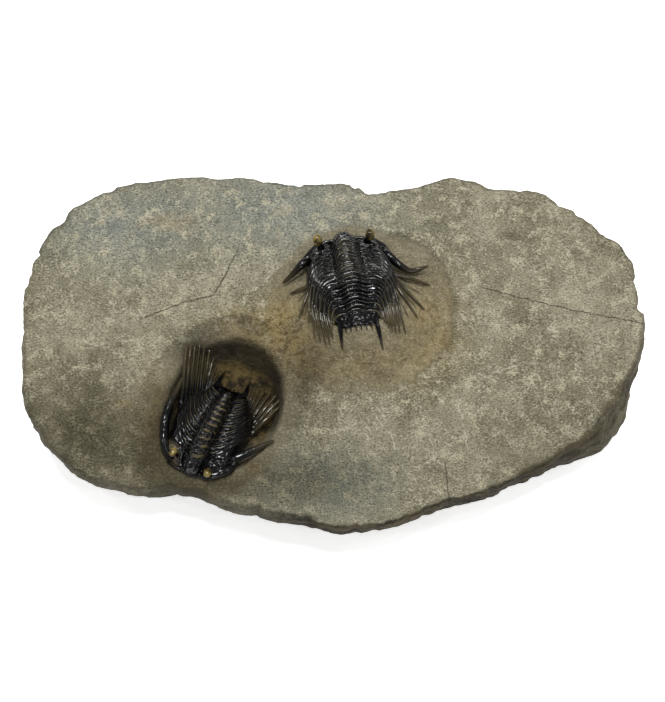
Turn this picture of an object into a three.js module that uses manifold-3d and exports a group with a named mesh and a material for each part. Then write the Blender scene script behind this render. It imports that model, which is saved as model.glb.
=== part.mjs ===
// Limestone slab with two black spiny trilobites prepared out of it, one on a low mound and one in a hollow.
// Millimetres. X runs along the slab, Y from its near long edge to its far one, Z up from the flat underside.

import * as THREE from 'three';
import { mergeVertices } from 'three/addons/utils/BufferGeometryUtils.js';
import Module from 'manifold-3d';

const wasm = await Module();
wasm.setup();

// Slab
const SLAB_TOP = 19;
const FOSSIL_GAP = 0.3; // clear height left between a fossil and the rock under it
const SLAB_CENTRE = [0, 1]; // middle of the slab in the coordinates that the outline was drawn in
const BLOCK_BOTTOM = -3; // the rock is modelled a little past the underside, then cut flat at height 0

// Slow waves of the upper face
const LONG_WAVE = { height: 0.45, lengthX: 19, shiftX: 0.6, lengthY: 15, shiftY: -0.4 };
const CROSS_WAVE = { height: 0.25, lengthX: 9, lengthY: 13 };

// Widest line round the slab, seen from above: left end, near edge, right end, far edge.
const BROW_OUTLINE = [
  [-71, 13], [-70.9, 6], [-70.7, 0], [-70.2, -7], [-69.8, -13], [-67.3, -17.6], [-64, -21.6], [-59, -25.5],
  [-54, -29], [-48, -31.6], [-42.5, -32.6], [-38, -31.8], [-33, -32.7], [-28, -34.2], [-22, -36], [-16, -37.8],
  [-10, -39], [-4, -40.2], [2, -41.2], [9, -40], [16, -37.6], [22, -35.2], [29, -33.8], [36, -31.7],
  [43, -29], [49, -26.5], [55, -23.8], [61, -21.4], [64.5, -17.2], [67.5, -12], [68.9, -6], [70.2, -0.5],
  [71, 5], [70.2, 11], [69.4, 17], [68.6, 22], [66, 26.2], [61.4, 29.6], [57.6, 32.6], [53, 35.8],
  [48, 39.2], [44, 40.9], [39.5, 40.2], [33, 42], [27.3, 43.3], [21, 41.5], [14, 40], [9, 39.2],
  [4, 41.4], [-3, 41.4], [-9, 41], [-15, 41.9], [-21, 42.8], [-28, 42.8], [-35.5, 43.2], [-42, 41.9],
  [-48, 41], [-53.5, 38.9], [-59, 36.2], [-63, 32.6], [-66, 28.6], [-68.3, 23.6], [-70.2, 18.5],
];

// Height of each line round the slab and how far it lies inside the brow, all round and more at one corner.
const EDGE_LINES = [
  { height: 0, inset: 6.4, cornerInset: 0.5, unevenness: 0.5 },
  { height: 3.5, inset: 4.4, cornerInset: 0, unevenness: 0.9 },
  { height: 9, inset: 1.9, cornerInset: -1.1, unevenness: 0.8 },
  { height: 14, inset: 0, cornerInset: 1.6, unevenness: 0 },
  { height: 17, inset: 0.6, cornerInset: 3.2, unevenness: 0.35 },
  { height: 22, inset: 3.4, cornerInset: 5.2, unevenness: 0.9 },
  { height: 30, inset: 3.4, cornerInset: 5.2, unevenness: 0 },
];
const CHIPPED_CORNER = { at: [64, -17], reach: 24 };

// Chips along the edge: turn of two waves from one outline point to the next, and shift from line to line
const CHIPS = { short: 2.4, long: 0.9, shiftPerLine: 1.7 };

// Mound under the upper fossil and hollow round the lower one
const MOUND = {
  at: [4.5, 8], reach: [21, 17], height: 5.2, flatShare: 0.3, footShare: 1.02,
  backEdge: 13.5, backSlope: 0.13, backWidth: 6,
};
const HOLLOW = {
  at: [-22.9, -9], heading: 248, floor: 12.6, floorSlope: 0.27, reach: [16, 12.5], shift: 6,
  floorShare: 0.8, steepness: 45, wallPower: 1.5, rimBlend: 1.2,
};

// Lines of the grid over the slab: closer together round the fossils
const GRID_X = gridLines([[-78, -42, 9], [-42, 30, 3], [30, 78, 8]]);
const GRID_Y = gridLines([[-46, -34, 6], [-34, 26, 3.3], [26, 50, 8]]);

// Trilobite body, measured along its back from the front of the head
const BODY_LENGTH = 25.2;
const HEAD_LENGTH = 5.8;
const TAIL_LENGTH = 3.2;
const RING_COUNT = 10;
const RING_LENGTH = (BODY_LENGTH - HEAD_LENGTH - TAIL_LENGTH) / RING_COUNT;
const RING_RELIEF = 0.5;
const RIDGE_PLACE = 0.7; // share of a ring's length at which its ridge is highest
const CREST_BOW = 1.1; // how far each ring bows forward at the crest
const FLANK_BULGE = 0.5;
const HEAD_STATIONS = [0, 0.6, 1.5, 2.8, 4.2, 5.2];
const LAST_RIDGE = 1; // distance of the last cross-section but one from the rear end
const MIDLINE = { step: 0.1, pastEnd: 4 };

// Below its edges the body goes on down into the rock, which cuts it off
const SKIRT = { depth: 7, depthAtEnds: 3, slope: 3, widthShare: 0.6 };

// Distance from the front of the head, then the value there
const HALF_WIDTH = [[0, 4.6], [0.8, 6.8], [2, 8.3], [4, 9.2], [5.8, 9.4], [9.5, 10.1], [13, 10.1], [16.5, 9.2],
  [19.5, 7.6], [22, 6.2], [24, 5.4], [25.2, 4.2]];
const AXIS_HALF_WIDTH = [[0, 2], [2.8, 3], [5.8, 2.8], [11, 3], [17, 2.8], [22, 2.3], [25.2, 1.2]];
const AXIS_HEIGHT = [[0, 0.6], [1.4, 2.6], [3.7, 3.4], [5.8, 3.3], [11, 3.2], [17, 2.4], [22, 1.6],
  [25.2, 0.3]];
const SIDE_DROP = [[0, 1.5], [5.8, 3], [17, 2.7], [22, 1.3], [25.2, 0.5]];
const SWEEP_START = [2.5, 7]; // stretch of the back over which the sides begin to sweep backward
const SWEEP_END = [15, 25.2];
const FULCRUM = 0.6; // share of each side that lies nearly flat before it bends down
const DROP_LIMIT = 1.3;

// Spines: radius at root and tip, and how finely each is faceted
const RIB_SPINE = { root: 0.5, tip: 0.2, sections: 4, sides: 3 };
const CHEEK_SPINE = { root: 0.9, tip: 0.3, sections: 6, sides: 5 };
const TAIL_SPINE = { root: 0.6, tip: 0.2, sections: 3, sides: 4 };
const TAIL_TOOTH = { root: 0.3, tip: 0.15, sections: 1, sides: 3 };
const EYE_STALK = { root: 0.75, tip: 0.6, sections: 1, sides: 5 };
const EYE_BALL = { radius: 0.95, around: 6, rows: 5 };
const SPINE_CLEARANCE = 1.3 * FOSSIL_GAP; // least height of a spine's underside above the rock

// Where spines leave the shell: distance along the back, share of the half width, height above the surface
const RIB_ROOT = { inRing: 0.6, share: 0.84, lift: -0.9 };
const RIB_BEND = { inRing: 0.9, share: 1.02, lift: -0.35 };
const CHEEK_ROOT = { s: 2, share: 0.7, lift: -1 };
const CHEEK_SHOULDER = { s: 3.4, share: 1, lift: -0.5 };
const TAIL_ROOT = { s: BODY_LENGTH - 1.6, share: 0.72, lift: -0.4 };
const EYE_ROOT = { s: 3, share: 0.6, lift: -0.4 };
const RIB_TIP_LIFT = 0.3;
const TAIL_TIP_LIFT = 0.2;
const TEETH = {
  shares: [-0.62, -0.25, 0.12, 0.5], rootInside: 0.8, length: 1.7, spread: 1.15,
  rootLift: -0.2, tipLift: -0.3,
};

// Each fossil: where the middle of its back lies, which way it faces and how steeply its back climbs toward
// the head (share of the length, degrees), then where the tips of its spines lie on the slab, front to back.
const UPPER_FOSSIL = {
  name: 'trilobite_on_mound',
  heading: 98.5,
  width: 1,
  sweep: { distance: 3.6, power: 3.2 },
  anchor: [5.4, 3.9, 25],
  anchorShare: 1,
  climb: [[0, -52], [0.12, -40], [0.23, -32], [0.35, -27], [0.5, -17], [0.65, -5], [0.8, 9], [1, 18]],
  eyes: { left: [-3.7, 24.1, 25.2], right: [8.1, 25.0, 25.2] },
  cheekSpines: {
    left: [[-6.8, 19.8, 22.4], [-9.5, 17.2, 21.3], [-11.6, 15.5, 20.4]],
    right: [[12.2, 21.6, 22.5], [15, 19.2, 21.8], [17.4, 18.8, 21.3], [21.1, 20.4, 21.5]],
  },
  ribTips: {
    left: [[-9.9, 12.7], [-7.8, 6.4], [-5.6, 4.9], [-4.3, 1.5], [-3, 0.4], [-1.8, -0.3], [-0.9, -0.2],
      [-0.2, 0.9], [-0.5, 2.9], [-0.1, 4.5]],
    right: [[21.7, 15.3], [20.4, 8.7], [18.8, 6.5], [16, 2.4], [14.7, 2.4], [13.8, 2.4], [13, 2.7],
      [12.3, 3.2], [11.7, 4.2], [11.2, 5.2]],
  },
  tailTips: { left: [1.9, -1.3], right: [10.9, -1.2] },
};
const LOWER_FOSSIL = {
  name: 'trilobite_in_hollow',
  heading: 248,
  width: 0.87,
  sweep: { distance: 3.6, power: 2.2 },
  anchor: [-27.2, -17.6, 19.5],
  anchorShare: 0.5,
  climb: [[0, -42], [0.15, -20], [0.25, 4], [0.4, 16], [0.6, 25], [0.8, 34], [1, 42]],
  eyes: { left: [-27.6, -29, 21.8], right: [-35.2, -24.3, 21.8] },
  cheekSpines: {
    left: [[-21.7, -25.4, 19.9], [-17.4, -23.2, 19.8], [-13.2, -21, 19.7]],
    right: [[-37.4, -16.6, 19.7], [-36.3, -12, 19], [-34.7, -8.4, 18.6], [-33.6, -5.5, 18]],
  },
  ribTips: {
    left: [[-12.2, -12.4], [-12.1, -10.7], [-12.9, -9.1], [-14.2, -7.9], [-15.5, -7.1], [-16.7, -6.5],
      [-17.8, -6.1], [-18.9, -6], [-19.9, -6.4], [-20.7, -7.2]],
    right: [[-32, -1], [-31, -0.6], [-30, -0.3], [-29, -0.2], [-28.1, -0.4], [-27.4, -0.9], [-26.8, -1.6],
      [-26.3, -2.5], [-26, -3.4], [-25.9, -4.6]],
  },
  tailTips: { left: [-18.9, -4.6], right: [-24.6, -2.2] },
};

const COLOURS = { limestone: 0x8d8874, shell: 0x1d1c1e };

function gridLines(stretches) {
  const lines = [];
  for (const [start, end, step] of stretches) {
    const count = Math.round((end - start) / step);
    for (let i = 0; i < count; i += 1) lines.push(start + ((end - start) * i) / count);
  }
  lines.push(stretches[stretches.length - 1][1]);
  return lines;
}

// Straight-line value between the points of a table of [place, value] pairs
function valueAt(table, place) {
  if (place <= table[0][0]) return table[0][1];
  for (let i = 1; i < table.length; i += 1) {
    const [from, low] = table[i - 1];
    const [to, high] = table[i];
    if (place <= to) return low + ((high - low) * (place - from)) / (to - from);
  }
  return table[table.length - 1][1];
}

function smaller(a, b, blend) {
  const share = THREE.MathUtils.clamp(0.5 + (0.5 * (b - a)) / blend, 0, 1);
  return b * (1 - share) + a * share - blend * share * (1 - share);
}

function groundHeight(x, y) {
  const swell = LONG_WAVE.height * Math.sin(x / LONG_WAVE.lengthX + LONG_WAVE.shiftX)
    * Math.cos(y / LONG_WAVE.lengthY + LONG_WAVE.shiftY)
    + CROSS_WAVE.height * Math.sin(x / CROSS_WAVE.lengthX + y / CROSS_WAVE.lengthY);
  const moundReach = Math.hypot((x - MOUND.at[0]) / MOUND.reach[0], (y - MOUND.at[1]) / MOUND.reach[1]);
  const backEdge = MOUND.backEdge + MOUND.backSlope * x;
  const mound = MOUND.height * (1 - THREE.MathUtils.smoothstep(moundReach, MOUND.flatShare, MOUND.footShare))
    * (1 - THREE.MathUtils.smoothstep(y, backEdge, backEdge + MOUND.backWidth));
  const heading = THREE.MathUtils.degToRad(HOLLOW.heading);
  const dx = x - HOLLOW.at[0];
  const dy = y - HOLLOW.at[1];
  const along = dx * Math.cos(heading) + dy * Math.sin(heading);
  const across = -dx * Math.sin(heading) + dy * Math.cos(heading);
  const reach = Math.hypot((along - HOLLOW.shift) / HOLLOW.reach[0], across / HOLLOW.reach[1]);
  const wall = HOLLOW.steepness * Math.max(0, reach - HOLLOW.floorShare) ** HOLLOW.wallPower;
  return smaller(SLAB_TOP + swell + mound, HOLLOW.floor + HOLLOW.floorSlope * along + wall, HOLLOW.rimBlend);
}

// Closed skin over a stack of rings with equal numbers of points, with a fan over each end
function loft(rings) {
  const count = rings[0].length;
  const points = rings.flat();
  const faces = [];
  for (let ring = 0; ring + 1 < rings.length; ring += 1) {
    for (let i = 0; i < count; i += 1) {
      const here = ring * count + i;
      const next = ring * count + ((i + 1) % count);
      faces.push([here, next, next + count], [here, next + count, here + count]);
    }
  }
  const last = (rings.length - 1) * count;
  const startCentre = points.push(middle(rings[0])) - 1;
  const endCentre = points.push(middle(rings[rings.length - 1])) - 1;
  for (let i = 0; i < count; i += 1) {
    const next = (i + 1) % count;
    faces.push([startCentre, next, i], [endCentre, last + i, last + next]);
  }
  return solid(points, faces);
}

function middle(points) {
  return points.reduce((sum, point) => sum.add(point), new THREE.Vector3()).divideScalar(points.length);
}

// Solid from points and triangles, its faces turned outward whichever way round they were given
function solid(points, faces) {
  let volume = 0;
  for (const [a, b, c] of faces) {
    volume += points[a].dot(new THREE.Vector3().crossVectors(points[b], points[c]));
  }
  const outward = volume > 0 ? faces : faces.map(([a, b, c]) => [a, c, b]);
  const geometry = new THREE.BufferGeometry().setFromPoints(points);
  geometry.setIndex(outward.flat());
  return toManifold(mergeVertices(geometry, 1e-5));
}

function toManifold(geometry) {
  return new wasm.Manifold(new wasm.Mesh({
    numProp: 3,
    vertProperties: new Float32Array(geometry.attributes.position.array),
    triVerts: new Uint32Array(geometry.index.array),
  }));
}

// Spine that thins from its root to its tip along a smooth curve through the given points
function spine(points, { root, tip, sections, sides }) {
  const curve = new THREE.CatmullRomCurve3(points);
  const frames = curve.computeFrenetFrames(sections, false);
  const rings = [];
  for (let k = 0; k <= sections; k += 1) {
    const share = k / sections;
    const radius = THREE.MathUtils.lerp(root, tip, share);
    const centre = curve.getPointAt(share);
    centre.z = Math.max(centre.z, groundHeight(centre.x, centre.y) + SPINE_CLEARANCE + radius);
    rings.push(Array.from({ length: sides }, (_, i) => {
      const turn = (2 * Math.PI * i) / sides;
      return centre.clone()
        .addScaledVector(frames.normals[k], radius * Math.cos(turn))
        .addScaledVector(frames.binormals[k], radius * Math.sin(turn));
    }));
  }
  return loft(rings);
}

function globe({ radius, around, rows }, place) {
  const geometry = new THREE.SphereGeometry(radius, around, rows).translate(...place);
  geometry.deleteAttribute('normal');
  geometry.deleteAttribute('uv');
  return toManifold(mergeVertices(geometry, 1e-4));
}

// Block of rock from below the slab up to the ground surface, raised by the given height
function rockUnderGround(raise) {
  const points = [];
  const faces = [];
  const rows = GRID_Y.length;
  for (const x of GRID_X) {
    for (const y of GRID_Y) points.push(new THREE.Vector3(x, y, groundHeight(x, y) + raise));
  }
  const edge = [];
  for (let i = 0; i + 1 < GRID_X.length; i += 1) edge.push(i * rows);
  for (let j = 0; j + 1 < rows; j += 1) edge.push((GRID_X.length - 1) * rows + j);
  for (let i = GRID_X.length - 1; i > 0; i -= 1) edge.push(i * rows + rows - 1);
  for (let j = rows - 1; j > 0; j -= 1) edge.push(j);
  for (let i = 0; i + 1 < GRID_X.length; i += 1) {
    for (let j = 0; j + 1 < rows; j += 1) {
      const a = i * rows + j;
      faces.push([a, a + rows, a + rows + 1], [a, a + rows + 1, a + 1]);
    }
  }
  const lower = edge.map((index) => points.push(points[index].clone().setZ(BLOCK_BOTTOM)) - 1);
  const centre = points.push(new THREE.Vector3(0, 0, BLOCK_BOTTOM)) - 1;
  edge.forEach((upper, k) => {
    const next = (k + 1) % edge.length;
    faces.push([upper, lower[k], lower[next]], [upper, lower[next], edge[next]]);
    faces.push([centre, lower[next], lower[k]]);
  });
  return solid(points, faces);
}

function slabEdge() {
  const corner = new THREE.Vector2(...CHIPPED_CORNER.at);
  return loft(EDGE_LINES.map(({ height, inset, cornerInset, unevenness }, line) => (
    BROW_OUTLINE.map(([x, y], i) => {
      const place = new THREE.Vector2(x, y);
      const nearness = 1 - THREE.MathUtils.smoothstep(place.distanceTo(corner), 0, CHIPPED_CORNER.reach);
      const wave = Math.sin(CHIPS.short * i + CHIPS.shiftPerLine * line) * Math.cos(CHIPS.long * i - line);
      const chip = unevenness * wave;
      const inward = inset + cornerInset * nearness + chip;
      place.setLength(place.length() - inward);
      return new THREE.Vector3(place.x, place.y, height);
    })
  )));
}

// Pose of one fossil's back: a line of midpoints bent along the body, and the surface spread out from it
class Back {
  constructor({ width, sweep, heading, anchor, anchorShare, climb }) {
    this.width = width;
    this.sweep = sweep;
    this.climb = climb.map(([share, degrees]) => [share * BODY_LENGTH, THREE.MathUtils.degToRad(degrees)]);
    const midline = [];
    const { step, pastEnd } = MIDLINE;
    const middleStep = Math.round((anchorShare * BODY_LENGTH) / step);
    let along = 0;
    let rise = 0;
    for (let k = 0; k * step <= BODY_LENGTH + pastEnd; k += 1) {
      midline.push([k * step, along, rise]);
      const slope = valueAt(this.climb, (k + 0.5) * step);
      along -= Math.cos(slope) * step;
      rise -= Math.sin(slope) * step;
    }
    const [, anchorAlong, anchorRise] = midline[middleStep];
    this.alongTable = midline.map(([s, a]) => [s, a - anchorAlong]);
    this.riseTable = midline.map(([s, , r]) => [s, r - anchorRise]);
    const turn = THREE.MathUtils.degToRad(heading);
    const forward = new THREE.Vector3(Math.cos(turn), Math.sin(turn), 0);
    const left = new THREE.Vector3(-Math.sin(turn), Math.cos(turn), 0);
    this.placing = new THREE.Matrix4().makeBasis(forward, left, new THREE.Vector3(0, 0, 1));
    this.placing.setPosition(...anchor);
  }

  edge(s) {
    return this.width * valueAt(HALF_WIDTH, s);
  }

  fulcrum(s) {
    return THREE.MathUtils.lerp(valueAt(AXIS_HALF_WIDTH, s), this.edge(s), FULCRUM);
  }

  // Point at distance s from the front of the head, w to the left of the midline and h above it
  point(s, w, h) {
    const slope = valueAt(this.climb, s);
    const along = valueAt(this.alongTable, s) - Math.sin(slope) * h;
    const rise = valueAt(this.riseTable, s) + Math.cos(slope) * h;
    return new THREE.Vector3(along, w, rise).applyMatrix4(this.placing);
  }

  // Point of the shell's upper face, its sides swept backward and bent down past the fulcrum
  surface(s, w, lift = 0) {
    const reach = Math.abs(w);
    const edge = this.edge(s);
    const axis = valueAt(AXIS_HALF_WIDTH, s);
    const fulcrum = this.fulcrum(s);
    const beyond = Math.max(0, (reach - fulcrum) / (edge - fulcrum));
    const crest = Math.sqrt(Math.max(0, 1 - (reach / axis) ** 2));
    const flank = THREE.MathUtils.clamp((reach - axis) / (edge - axis), 0, 1);
    const swept = THREE.MathUtils.smoothstep(s, ...SWEEP_START)
      * (1 - THREE.MathUtils.smoothstep(s, ...SWEEP_END));
    const back = this.sweep.distance * swept * flank ** this.sweep.power;
    const height = reach < axis
      ? valueAt(AXIS_HEIGHT, s) * crest
      : FLANK_BULGE * Math.sin(Math.PI * flank) - valueAt(SIDE_DROP, s) * Math.min(beyond, DROP_LIMIT) ** 2;
    return this.point(s + back - CREST_BOW * crest ** 2, w, height + ringRelief(s) + lift);
  }

  // Point of the surface at a share of the half width, on the left (1) or the right (-1)
  rootPoint({ s, share, lift }, side) {
    return this.surface(s, side * share * this.edge(s), lift);
  }
}

// Each ring of the thorax rises from a furrow in front to a ridge near its rear edge
function ringRelief(s) {
  const inRing = (s - HEAD_LENGTH) / RING_LENGTH;
  if (inRing < 0 || inRing > RING_COUNT + 1) return 0;
  const share = inRing - Math.floor(inRing + 1e-6);
  return RING_RELIEF * (share < RIDGE_PLACE ? share / RIDGE_PLACE : (1 - share) / (1 - RIDGE_PLACE));
}

function bodyStations() {
  const stations = [...HEAD_STATIONS];
  for (let ring = 0; ring <= RING_COUNT; ring += 1) {
    const start = HEAD_LENGTH + ring * RING_LENGTH;
    stations.push(start, start + RIDGE_PLACE * RING_LENGTH);
  }
  return [...stations, BODY_LENGTH - LAST_RIDGE, BODY_LENGTH];
}

function body(back) {
  return loft(bodyStations().map((s) => {
    const edge = back.edge(s);
    const axis = valueAt(AXIS_HALF_WIDTH, s);
    const fulcrum = back.fulcrum(s);
    const half = [0.6 * axis, axis, fulcrum, 0.5 * (fulcrum + edge), edge];
    const across = [...half.map((w) => -w).reverse(), 0, ...half];
    const top = across.map((w) => back.surface(s, w));
    const fromEnd = Math.min(s, BODY_LENGTH - s);
    const depth = Math.min(SKIRT.depth, SKIRT.depthAtEnds + SKIRT.slope * fromEnd);
    const low = { s, share: SKIRT.widthShare, lift: -depth };
    return [...top, back.rootPoint(low, 1), back.rootPoint(low, -1)];
  }));
}

// Point above the ground, clear of it by the gap and the given lift
function onGround(x, y, lift) {
  return new THREE.Vector3(x, y, groundHeight(x, y) + FOSSIL_GAP + lift);
}

function ribSpines(back, tips, side) {
  return tips.map(([x, y], ring) => {
    const [root, bend] = [RIB_ROOT, RIB_BEND].map(({ inRing, share, lift }) => (
      back.rootPoint({ s: HEAD_LENGTH + (ring + inRing) * RING_LENGTH, share, lift }, side)));
    const tip = onGround(x, y, RIB_TIP_LIFT);
    return spine([root, bend, bend.clone().lerp(tip, 0.5), tip], RIB_SPINE);
  });
}

function cheekSpine(back, path, side) {
  const start = [CHEEK_ROOT, CHEEK_SHOULDER].map((place) => back.rootPoint(place, side));
  return spine([...start, ...path.map((point) => new THREE.Vector3(...point))], CHEEK_SPINE);
}

function tailSpine(back, [x, y], side) {
  const root = back.rootPoint(TAIL_ROOT, side);
  const tip = onGround(x, y, TAIL_TIP_LIFT);
  return spine([root, root.clone().lerp(tip, 0.5), tip], TAIL_SPINE);
}

function tailTeeth(back) {
  return TEETH.shares.map((share) => {
    const w = share * back.edge(BODY_LENGTH);
    const root = back.point(BODY_LENGTH - TEETH.rootInside, w, TEETH.rootLift);
    const tip = back.point(BODY_LENGTH + TEETH.length, w * TEETH.spread, TEETH.tipLift);
    return spine([root, tip], TAIL_TOOTH);
  });
}

function eye(back, place, side) {
  const stalk = spine([back.rootPoint(EYE_ROOT, side), new THREE.Vector3(...place)], EYE_STALK);
  return [stalk, globe(EYE_BALL, place)];
}

function trilobite(fossil) {
  const back = new Back(fossil);
  const pieces = [body(back), ...tailTeeth(back)];
  for (const [name, side] of [['left', 1], ['right', -1]]) {
    pieces.push(...ribSpines(back, fossil.ribTips[name], side));
    pieces.push(cheekSpine(back, fossil.cheekSpines[name], side));
    pieces.push(tailSpine(back, fossil.tailTips[name], side));
    pieces.push(...eye(back, fossil.eyes[name], side));
  }
  return pieces.reduce((whole, piece) => whole.add(piece)).subtract(rockUnderGround(FOSSIL_GAP));
}

function mesh(name, shape, material) {
  const { vertProperties, triVerts } = shape.getMesh();
  const geometry = new THREE.BufferGeometry();
  geometry.setAttribute('position', new THREE.BufferAttribute(vertProperties, 3));
  geometry.setIndex(new THREE.BufferAttribute(triVerts, 1));
  geometry.computeVertexNormals();
  const piece = new THREE.Mesh(geometry, material);
  piece.name = name;
  return piece;
}

const limestone = new THREE.MeshStandardMaterial({ color: COLOURS.limestone, roughness: 0.85, metalness: 0 });
const shell = new THREE.MeshStandardMaterial({ color: COLOURS.shell, roughness: 0.25, metalness: 0 });

const fossilSlab = new THREE.Group();
fossilSlab.position.set(-SLAB_CENTRE[0], -SLAB_CENTRE[1], 0);
fossilSlab.add(mesh('limestone_slab', rockUnderGround(0).intersect(slabEdge()), limestone));
for (const fossil of [UPPER_FOSSIL, LOWER_FOSSIL]) {
  fossilSlab.add(mesh(fossil.name, trilobite(fossil), shell));
}

const model = new THREE.Group();
model.add(fossilSlab);
export default model;
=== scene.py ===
"""Limestone slab with two glossy black spiny trilobites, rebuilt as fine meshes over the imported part."""

import math

import bpy
import numpy as np
from mathutils import Euler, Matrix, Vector, noise


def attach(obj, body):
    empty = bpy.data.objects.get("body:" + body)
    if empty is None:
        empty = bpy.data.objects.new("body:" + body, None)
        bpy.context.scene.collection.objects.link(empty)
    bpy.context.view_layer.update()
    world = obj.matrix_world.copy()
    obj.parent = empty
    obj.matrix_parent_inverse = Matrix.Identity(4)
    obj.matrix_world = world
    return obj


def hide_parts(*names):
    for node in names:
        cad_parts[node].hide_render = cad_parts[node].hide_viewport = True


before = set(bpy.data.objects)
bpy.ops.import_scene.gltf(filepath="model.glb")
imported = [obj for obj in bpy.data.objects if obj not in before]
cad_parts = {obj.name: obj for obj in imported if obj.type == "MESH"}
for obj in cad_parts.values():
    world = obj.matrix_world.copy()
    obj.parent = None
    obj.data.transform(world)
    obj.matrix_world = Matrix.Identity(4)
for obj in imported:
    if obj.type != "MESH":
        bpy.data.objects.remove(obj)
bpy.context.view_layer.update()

MM = 0.001
SLAB_CENTRE = (0, 1)  # middle of the slab in the coordinates of the outline, in mm like every size below

# Slab, with its outline at the brow, where it is widest
SLAB_TOP = 19.0
BROW_OUTLINE = [
    (-71, 13), (-70.9, 6), (-70.7, 0), (-70.2, -7), (-69.8, -13), (-67, -17.6), (-64, -22), (-59.6, -26.6),
    (-54, -29.9), (-48, -31.6), (-42.5, -32.6), (-38, -31.8), (-33, -32.7), (-28, -34.2), (-22, -36.6),
    (-16, -37.8), (-10, -39), (-4, -40.2), (2, -41.2), (9, -40.8), (16, -39), (22, -36.5), (29, -34.3),
    (36, -32.5), (43, -29), (49, -26.5), (55, -23.8), (61, -21.4), (64.5, -17.2), (67.5, -12), (68.9, -6),
    (70.2, -0.5), (71, 5), (70.2, 11), (69.4, 17), (68.6, 22), (66, 26.2), (61.4, 29.6), (57.6, 32.6),
    (53, 35.8), (48, 39), (44, 39.5), (39.5, 39.7), (33, 42), (27.3, 43.3), (21, 41.5), (14, 40), (9, 39.2),
    (4, 41.4), (-3, 41.4), (-9, 41), (-15, 41.9), (-21, 42.8), (-28, 42.8), (-35.5, 43.2), (-42, 41.9),
    (-48, 41), (-53.5, 38.9), (-59, 36.2), (-63, 32.6), (-66, 28.6), (-68.3, 23.6), (-70.2, 18.5),
]
# Height of each line round the slab, how far it lies inside the brow, how much more at the chipped corner
EDGE_LINES = [(0, 6.4, 0.5), (3.5, 4.4, 0), (9, 1.9, -1.1), (14, 0.15, 1.6), (17, 0.4, 3.2)]
SHOULDER_INSET, SHOULDER_CORNER_INSET, SHOULDER_SHARE = 0.6, 3.6, 0.65
RIM_INSET, RIM_CORNER_INSET, RIM_DROP = 0.95, 4.3, 0.15
CHIPPED_CORNER, CORNER_REACH = (64, -17), 24.0
ROUND_POINTS, SIDE_RINGS, TOP_RINGS, SPLINE_STEPS = 760, 26, 84, 24
# Breakage of the edge: size and depth of its chips, facets and nicks, and of the grain on all of them
CHIP_SIZE, CHIP_DEPTH, CHIP_MIDDLE = 7.0, 0.75, 0.35
FACET_SIZE, FACET_DEPTH = 5.5, 0.75
NICK_SIZE, NICK_DEPTH, NICK_START = 3.1, 1.6, 0.2
EDGE_GRAIN_SIZE, EDGE_GRAIN_DEPTH = 2.2, 0.28
MOST_OUTWARD = 0.1
TOP_GRAINS = [(6.0, 0.12), (1.6, 0.045)]

# Mound under the upper fossil and hollow round the lower one
MOUND = {"at": (4.5, 8), "reach": (21, 17), "height": 5.2,
         "back_edge": 13.5, "back_slope": 0.13, "back_width": 6}
HOLLOW = {"at": (-22.9, -9), "heading": 248, "reach": (16, 12.5), "shift": 6,
          "floor": 12.6, "floor_slope": 0.27, "wall_start": 0.8, "steepness": 45, "rim_blend": 1.2}

# Marks on the rock: strength, middle and reach of each soft patch
OCHRE_SPOTS = [
    (0.75, (-11, 4), (7, 9)), (0.55, (22, 6), (7, 11)), (0.4, (5, -4), (14, 5)), (0.45, (-20, 6), (8, 5)),
    (0.4, (-40, -14), (4, 12)), (0.35, (-35.6, 30.8), (6, 2)), (0.7, (-46.9, -12.4), (1.7, 1.3)),
    (0.8, (-17.7, -27.2), (1.6, 1)),
]
# Darker patches: painted shade under and beside the lower fossil and on the slope between hollow and mound,
# small dark stains, and broad darker areas near the edges
SHADE_SPOTS = [
    (1, (-54, -17), (18, 11)), (0.85, (-5, -30), (18, 9)), (0.55, (-38, -30), (26, 8)),
    (0.8, (-6, -5), (5, 9)), (0.35, (48, -22), (20, 6)), (0.6, (40.6, 27.3), (2, 1.6)),
    (0.5, (54.5, -0.3), (2, 1.6)), (0.5, (25.6, -6.9), (2.2, 1.8)), (0.6, (44, -27), (9, 2.8)),
    (0.5, (-38, -22), (4.5, 10)), (0.5, (-28, -31.8), (9, 2.2)),
]
BLUISH_SPOTS = [(1, (-12, 34), (24, 11)), (0.9, (-50, 30), (16, 11)), (0.9, (-2, -31), (15, 8))]
# Painted shade on the hollow's upper left wall, which faces the near side
WALL_SHADE_SPOT = (0.8, (-31.8, 0), (3.6, 4))
CORNER_SPOT = (0.22, (65, -12), (9, 13))
PREPARED = {"at": (6, 10), "reach": (21.5, 20)}
WOBBLE_SIZE = 5.0
CRACKS = [
    [(33.5, 15), (42, 12.6), (50, 10.6), (57, 8.9), (64, 7.6), (70.5, 6.4)],
    [(-22, 24.2), (-24.2, 19), (-26.9, 14.3)],
    [(-27.6, 13.3), (-34.3, 11.5), (-43.5, 7.5)],
    [(24.5, -26), (25.2, -34)],
]
SCRATCHES = [
    [(27.8, -13), (28.7, -18), (29.8, -22.6)],
    [(33.7, -6.2), (38, -4.2), (42.4, -2.9), (46.5, -3.2)],
    [(21.5, -20.5), (22.3, -26.5)],
    [(45, -9.5), (47.2, -14.5)],
    [(9.5, -15.5), (12.8, -19.6), (13.6, -23)],
    [(-52, 21.5), (-47.5, 23.4)],
]
NO_LINE, LINES_ABOVE = 9.0, 14  # distance that means far from any line, and the height where the lines end

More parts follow.
